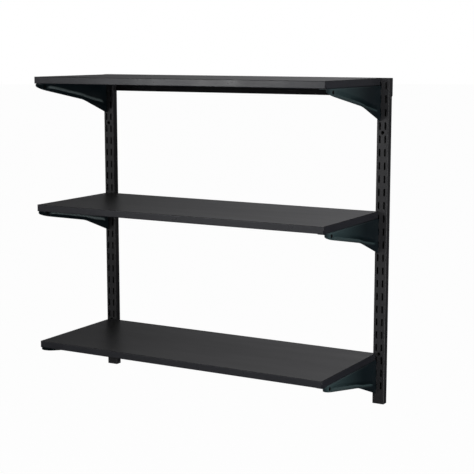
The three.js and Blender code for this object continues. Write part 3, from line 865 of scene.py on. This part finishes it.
def bracket_painted_light(shader, colour, clouds):
    """Painted light on the bracket: a painted sheen lighter towards the nose, painted shade in the bead's
    groove, and painted highlights on the groove's lower wall and the bead's crown.
    """
    fore = shader.attribute("fore")
    nose_tip = shader.spread(fore, 0.92, 0.98, 1, 0.2)
    # painted sheen: lighter towards the nose, fading at the very tip, standing in for light falling off
    # towards the heel
    nose_sheen = shader.maths("MULTIPLY", shader.spread(fore, 0.25, 0.95), nose_tip)
    colour = shader.mix(nose_sheen, colour, BRACKET_NOSE_SHEEN)
    groove = shader.spread(shader.attribute("groove"), 0.1, 0.6)
    # painted shade in the bead's groove, stronger towards the heel
    groove_shade = shader.maths("MULTIPLY", groove, shader.spread(fore, 0.3, 0.6, 1, 0.1))
    colour = shader.mix(groove_shade, colour, BRACKET_GROOVE_SHADE)
    # painted highlight on the groove's lower wall, where it leans up
    colour = shader.mix(shader.maths("MULTIPLY", groove, shader.leaning_up()), colour, BRACKET_LEDGE_HIGHLIGHT)
    crown = shader.spread(shader.attribute("crown"), 0.05, 0.5)
    # painted highlight on the bead's crown where it leans up, patchy with the clouds
    rubbed_and_highlight = shader.maths("MULTIPLY", crown, shader.leaning_up())
    patchy = shader.spread(clouds, 0.2, 0.6, 0.7, 1)
    return shader.mix(shader.maths("MULTIPLY", rubbed_and_highlight, patchy), colour, BRACKET_CROWN_HIGHLIGHT)


def powder_coat(name, light, dark, worn, rough, specular=0.4, inside_shade=None, painted_light_marks=None):
    """Satin powder coat: orange-peel skin, cloudy gloss, thin spots on cut edges and a little settled dust.
    The insides' colour is painted shade, near black, on the tube's inner skin and its cut edges' walls, and
    the last argument adds a piece's painted highlights and painted shade."""
    shader = Shader(name, specular=specular)
    clouds = shader.noise(9, 4)
    colour = shader.mix(shader.spread(clouds, 0.3, 0.7), dark, light)
    chips = shader.spread(shader.noise(70, 4), 0.5, 0.62)
    thin = shader.maths("MULTIPLY", shader.attribute("edge"), chips)
    colour = shader.mix(thin, colour, worn)
    specks = shader.spread(shader.noise(420, 2), 0.6, 0.72, 0.0, 0.5)
    # a piece's painted highlights and painted shade go on here
    if painted_light_marks:
        colour = painted_light_marks(shader, colour, clouds)
    settled = shader.maths("MULTIPLY", shader.facing_up(), shader.maths("ADD", specks, 0.15))
    colour = shader.mix(settled, colour, DUST)
    gloss = shader.spread(shader.noise(28, 5, offset=(3, 1, 2)), 0.3, 0.7, rough - 0.06, rough + 0.07)
    gloss = shader.maths("SUBTRACT", gloss, shader.maths("MULTIPLY", thin, 0.12))
    if inside_shade:
        # painted shade on the inner skin and the cut edges' walls, with a duller gloss
        inside_shade_mask = shader.attribute("inside")
        colour = shader.mix(inside_shade_mask, colour, inside_shade)
        gloss = shader.maths("ADD", gloss, shader.maths("MULTIPLY", inside_shade_mask, 0.4))
    peel = shader.noise(650, 2, 0.5)
    grain = shader.noise(2600, 2, 0.6)
    height = shader.maths("ADD", peel, shader.maths("MULTIPLY", grain, 0.25))
    return shader.finish(colour, gloss, height, 0.35, 0.05 * MM)


def board_foil(name):
    """Black melamine foil: a fine pearl grain, soft wiping marks along the board and a few dust specks."""
    shader = Shader(name, specular=0.5)
    clouds = shader.noise(5, 4)
    colour = shader.mix(shader.spread(clouds, 0.3, 0.7),
                        rgb(0.0175, 0.0175, 0.018), rgb(0.024, 0.0238, 0.0245))
    print_grain = shader.spread(shader.noise(900, 2), 0.35, 0.65)
    colour = shader.mix(shader.maths("MULTIPLY", print_grain, 0.35), colour, rgb(0.034, 0.034, 0.035))
    specks = shader.spread(shader.cells(95), 0.045, 0.03)
    scatter = shader.spread(shader.noise(14, 2), 0.52, 0.6)
    dust = shader.maths("MULTIPLY", shader.maths("MULTIPLY", specks, scatter), shader.facing_up())
    colour = shader.mix(shader.maths("MULTIPLY", dust, 0.5), colour, rgb(0.16, 0.155, 0.15))
    wiping = shader.noise(11, 5, 0.6, stretch=(0.35, 2.6, 1))
    gloss = shader.spread(wiping, 0.3, 0.7, 0.40, 0.43)
    gloss = shader.maths("ADD", gloss, shader.maths("MULTIPLY", dust, 0.3))
    pearl = shader.cells(1100, "SMOOTH_F1")
    grain = shader.noise(2400, 2)
    height = shader.maths("ADD", pearl, shader.maths("MULTIPLY", grain, 0.4))
    return shader.finish(colour, gloss, height, 0.3, 0.04 * MM)


def edge_band(name):
    """Glossier plastic edging with faint scraper lines along its length, scuffs and dull scraped edges, whose
    rounded upper edges also carry a painted shade line.
    """
    shader = Shader(name, specular=0.5)
    clouds = shader.noise(7, 3)
    colour = shader.mix(shader.spread(clouds, 0.3, 0.7),
                        rgb(0.020, 0.021, 0.026), rgb(0.027, 0.028, 0.034))
    scuffs = shader.spread(shader.noise(60, 5, 0.7, stretch=(1, 1, 3)), 0.64, 0.72, 0.0, 0.5)
    colour = shader.mix(scuffs, colour, rgb(0.06, 0.06, 0.066))
    gloss = shader.spread(shader.noise(24, 4), 0.3, 0.7, 0.27, 0.36)
    gloss = shader.maths("ADD", gloss, shader.maths("MULTIPLY", scuffs, 0.25))
    # painted shade: the rounded upper edge darkened by its tilt, and made duller
    arris_shade_and_dullness = shader.maths("SUBTRACT", shader.facing(0.2, 0.5), shader.facing(0.93, 0.99))
    colour = shader.mix(arris_shade_and_dullness, colour, rgb(0.003, 0.003, 0.004))
    gloss = shader.maths("ADD", gloss, shader.maths("MULTIPLY", arris_shade_and_dullness, 0.45))
    lines = shader.noise(1200, 3, 0.6, stretch=(0.03, 0.03, 1))
    grain = shader.noise(1500, 2)
    height = shader.maths("ADD", lines, shader.maths("MULTIPLY", grain, 0.3))
    return shader.finish(colour, gloss, height, 0.25, 0.03 * MM)


def black_screw(name):
    """Black-passivated steel with brighter rubbed spots."""
    shader = Shader(name, metallic=0.85, specular=0.5)
    rubbed_and_highlight = shader.spread(shader.noise(900, 3), 0.5, 0.66)
    colour = shader.mix(rubbed_and_highlight, rgb(0.03, 0.03, 0.032), rgb(0.11, 0.11, 0.115))
    gloss = shader.spread(shader.noise(600, 3), 0.3, 0.7, 0.3, 0.48)
    return shader.finish(colour, gloss, shader.noise(2500, 2), 0.2, 0.02 * MM)


def dull_plastic(name):
    """Matt black moulded plastic with a fine grain, kept near black and almost without sheen as painted shade
    for the nose hole.
    """
    shader = Shader(name, specular=0.08)
    clouds = shader.spread(shader.noise(400, 3), 0.3, 0.7)
    colour = shader.mix(clouds, rgb(0.003, 0.003, 0.003), rgb(0.006, 0.006, 0.0065))
    gloss = shader.spread(shader.noise(900, 3), 0.3, 0.7, 0.55, 0.7)
    return shader.finish(colour, gloss, shader.noise(3000, 2), 0.2, 0.02 * MM)


UPRIGHT_PAINT = powder_coat("upright_powder_coat", rgb(0.030, 0.030, 0.032), rgb(0.022, 0.022, 0.024),
                            rgb(0.060, 0.060, 0.062), 0.42, inside_shade=INSIDE_SHADE)
# painted shade: the rail's black coat is kept darker and duller than the uprights', for the shade under the
# top board
RAIL_PAINT_AND_SHADE = powder_coat("rail_powder_coat_and_shade", rgb(0.008, 0.008, 0.009), rgb(0.005, 0.005, 0.006),
                         rgb(0.030, 0.030, 0.032), 0.6, specular=0.12)
# the bracket coat carries painted sheen, painted shade and painted highlights on top of its paint
BRACKET_PAINT = powder_coat("bracket_powder_coat", rgb(0.007, 0.014, 0.018), rgb(0.004, 0.009, 0.012),
                            rgb(0.040, 0.054, 0.058), 0.38, painted_light_marks=bracket_painted_light)
BOARD_FOIL = board_foil("board_foil")
EDGE_BAND = edge_band("edge_band_plastic")
SCREW_FINISH = black_screw("screw_black_passivated")
PLUG_PLASTIC_AND_SHADE = dull_plastic("plug_plastic_and_hole_shade")


# ---- the pieces ----
def add_piece(node, mesh, material, body):
    """A finished piece in place of one CAD node."""
    mesh.materials.append(material)
    piece = bpy.data.objects.new(f"{node}_finished", mesh)
    bpy.context.scene.collection.objects.link(piece)
    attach(piece, body)
    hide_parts(node)
    return piece


def build_wall_frame():
    rail = rail_mesh("hang_rail_mesh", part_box("hang_rail"))
    add_piece("hang_rail", rail, RAIL_PAINT_AND_SHADE, "wall_frame")
    for side in HANDS:
        node = f"upright_{side}"
        add_piece(node, upright_mesh(f"{node}_mesh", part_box(node)), UPRIGHT_PAINT, "wall_frame")


def build_shelf(level):
    body = f"{level}_shelf"
    for side in HANDS:
        places = []
        for where in ("front", "rear"):
            node = f"{level}_screw_{side}_{where}"
            low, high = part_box(node)
            places.append(((low.x + high.x) / 2, (low.y + high.y) / 2))
            add_piece(node, screw_mesh(f"{node}_mesh", (low, high)), SCREW_FINISH, body)
        node = f"{level}_bracket_{side}"
        mesh = Bracket(level, side).mesh(f"{node}_mesh", places)
        add_piece(node, mesh, BRACKET_PAINT, body)
        node = f"{level}_nose_plug_{side}"
        add_piece(node, plug_mesh(f"{node}_mesh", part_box(node), HANDS[side]), PLUG_PLASTIC_AND_SHADE, body)
    for where, axis, sense in (("front", 1, -1), ("back", 1, 1), ("left", 0, -1), ("right", 0, 1)):
        node = f"{level}_{where}_band"
        mesh = band_mesh(f"{node}_mesh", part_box(node), axis, sense)
        piece = add_piece(node, mesh, EDGE_BAND, body)
        piece.modifiers.new("even_normals", "WEIGHTED_NORMAL")
    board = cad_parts[f"{level}_board"]
    for slot in board.material_slots:
        slot.material = BOARD_FOIL


build_wall_frame()
for level in LEVELS:
    build_shelf(level)


# ---- camera ----
VIEW_AZIMUTH = radians(29.61)       # how far the camera stands to the right of straight ahead
VIEW_PITCH = radians(8.72)          # how far it looks down
VIEW_DISTANCE = 3.094
AIM_OFFSET = Vector((0.060, 0.035, 0.006))   # from the middle of the CAD box
LENS = 94.54
SENSOR = 36


def add_camera():
    low, high = (Vector(corner) for corner in cad_box)
    camera = bpy.data.objects.new("camera", bpy.data.cameras.new("camera"))
    camera.data.lens = LENS
    camera.data.sensor_width = SENSOR
    camera.rotation_euler = (pi / 2 - VIEW_PITCH, 0, VIEW_AZIMUTH)
    level = cos(VIEW_PITCH)
    backward = Vector((sin(VIEW_AZIMUTH) * level, -cos(VIEW_AZIMUTH) * level, sin(VIEW_PITCH)))
    camera.location = (low + high) / 2 + AIM_OFFSET + backward * VIEW_DISTANCE
    bpy.context.scene.collection.objects.link(camera)
    bpy.context.scene.camera = camera


# ---- studio ----
def add_floor():
    """A plain pale floor, a metre under the shelving, which throws no light back at it."""
    low, _ = cad_box
    mesh = bpy.data.meshes.new("studio_floor")
    bm = bmesh.new()
    bmesh.ops.create_circle(bm, cap_ends=True, segments=96, radius=60)
    bm.to_mesh(mesh)
    bm.free()
    floor = bpy.data.objects.new("studio_floor", mesh)
    floor.location = (0, 0, low[2] - 1.0)
    material = bpy.data.materials.new("studio_floor")
    material.use_nodes = True
    shader = material.node_tree.nodes["Principled BSDF"]
    shader.inputs["Base Color"].default_value = rgb(0.02, 0.02, 0.02)
    shader.inputs["Roughness"].default_value = 0.9
    shader.inputs["Specular IOR Level"].default_value = 0.0
    shader.inputs["Emission Color"].default_value = rgb(1, 1, 1)
    shader.inputs["Emission Strength"].default_value = 0.98
    mesh.materials.append(material)
    floor.visible_glossy = False
    floor.visible_diffuse = False
    bpy.context.scene.collection.objects.link(floor)


def add_soft_light(name, place, aim, width, height, power):
    """A rectangular area light, turned to shine from its place towards its aim."""
    light = bpy.data.lights.new(name, "AREA")
    light.shape = "RECTANGLE"
    light.size = width
    light.size_y = height
    light.energy = power
    lamp = bpy.data.objects.new(name, light)
    lamp.location = place
    lamp.rotation_euler = (Vector(aim) - Vector(place)).to_track_quat("-Z", "Y").to_euler()
    lamp.visible_camera = False
    bpy.context.scene.collection.objects.link(lamp)


# The room's brightness by direction: colours over its Z component, multiplied by greys over its X component.
ROOM_HEIGHTS = [(-0.16, rgb(0.01, 0.01, 0.012)), (0.02, rgb(0.25, 0.25, 0.26)), (0.12, rgb(0.42, 0.42, 0.43)),
                (0.25, rgb(0.32, 0.32, 0.33)), (0.5, rgb(0.06, 0.06, 0.063))]
ROOM_SIDES = [(-0.66, rgb(0, 0, 0)), (-0.45, rgb(0.75, 0.75, 0.75)), (-0.33, rgb(1, 1, 1)),
              (0, rgb(0.2, 0.2, 0.2))]
ROOM_STRENGTH = 2.0


def set_world():
    """White where the camera looks past the object; for light and reflections a dim room, brightest a little
    above level and left of the middle."""
    world = bpy.data.worlds.new("studio")
    bpy.context.scene.world = world
    world.use_nodes = True
    nodes, links = world.node_tree.nodes, world.node_tree.links
    seen = nodes["Background"]
    seen.inputs["Color"].default_value = rgb(1, 1, 1)
    room = nodes.new("ShaderNodeBackground")
    direction = nodes.new("ShaderNodeTexCoord")
    separate = nodes.new("ShaderNodeSeparateXYZ")
    links.new(direction.outputs["Generated"], separate.inputs["Vector"])

    def ramp_along(axis, stops):
        """A colour ramp over the direction's component on an axis, -1 to 1; stops are (component, colour)."""
        lift = nodes.new("ShaderNodeMapRange")
        lift.inputs["From Min"].default_value = -1
        links.new(separate.outputs[axis], lift.inputs["Value"])
        ramp_node = nodes.new("ShaderNodeValToRGB")
        elements = ramp_node.color_ramp.elements
        for component, colour in stops:
            elements.new((component + 1) / 2).color = colour
        elements.remove(elements[0])
        elements.remove(elements[-1])
        links.new(lift.outputs["Result"], ramp_node.inputs["Fac"])
        return ramp_node.outputs["Color"]

    strength = nodes.new("ShaderNodeMath")
    strength.operation = "MULTIPLY"
    strength.inputs[1].default_value = ROOM_STRENGTH
    links.new(ramp_along("X", ROOM_SIDES), strength.inputs[0])
    links.new(ramp_along("Z", ROOM_HEIGHTS), room.inputs["Color"])
    links.new(strength.outputs["Value"], room.inputs["Strength"])
    path = nodes.new("ShaderNodeLightPath")
    mix = nodes.new("ShaderNodeMixShader")
    links.new(path.outputs["Is Camera Ray"], mix.inputs["Fac"])
    links.new(room.outputs["Background"], mix.inputs[1])
    links.new(seen.outputs["Background"], mix.inputs[2])
    links.new(mix.outputs["Shader"], nodes["World Output"].inputs["Surface"])


add_camera()
add_floor()
set_world()
add_soft_light("front_left_softbox", (-1.14, -2.4, 0.25), (0, -0.3, -0.1), 0.5, 0.7, 10)
add_soft_light("front_fill", (-1.2, -3.0, -0.6), (0, -0.3, -0.35), 1.6, 1.6, 4.6)
add_soft_light("overhead_softbox", (0.2, -0.9, 2.2), (0, -0.2, -0.4), 2.4, 1.6, 36)
add_soft_light("right_softbox", (2.4, -0.9, -1.0), (0, -0.2, -0.5), 1.6, 1.8, 22)
add_soft_light("right_front_strip", (0.85, -0.75, -0.33), (0.39, -0.28, -0.35), 0.15, 1.1, 2.2)
bpy.context.scene.view_settings.view_transform = "Standard"
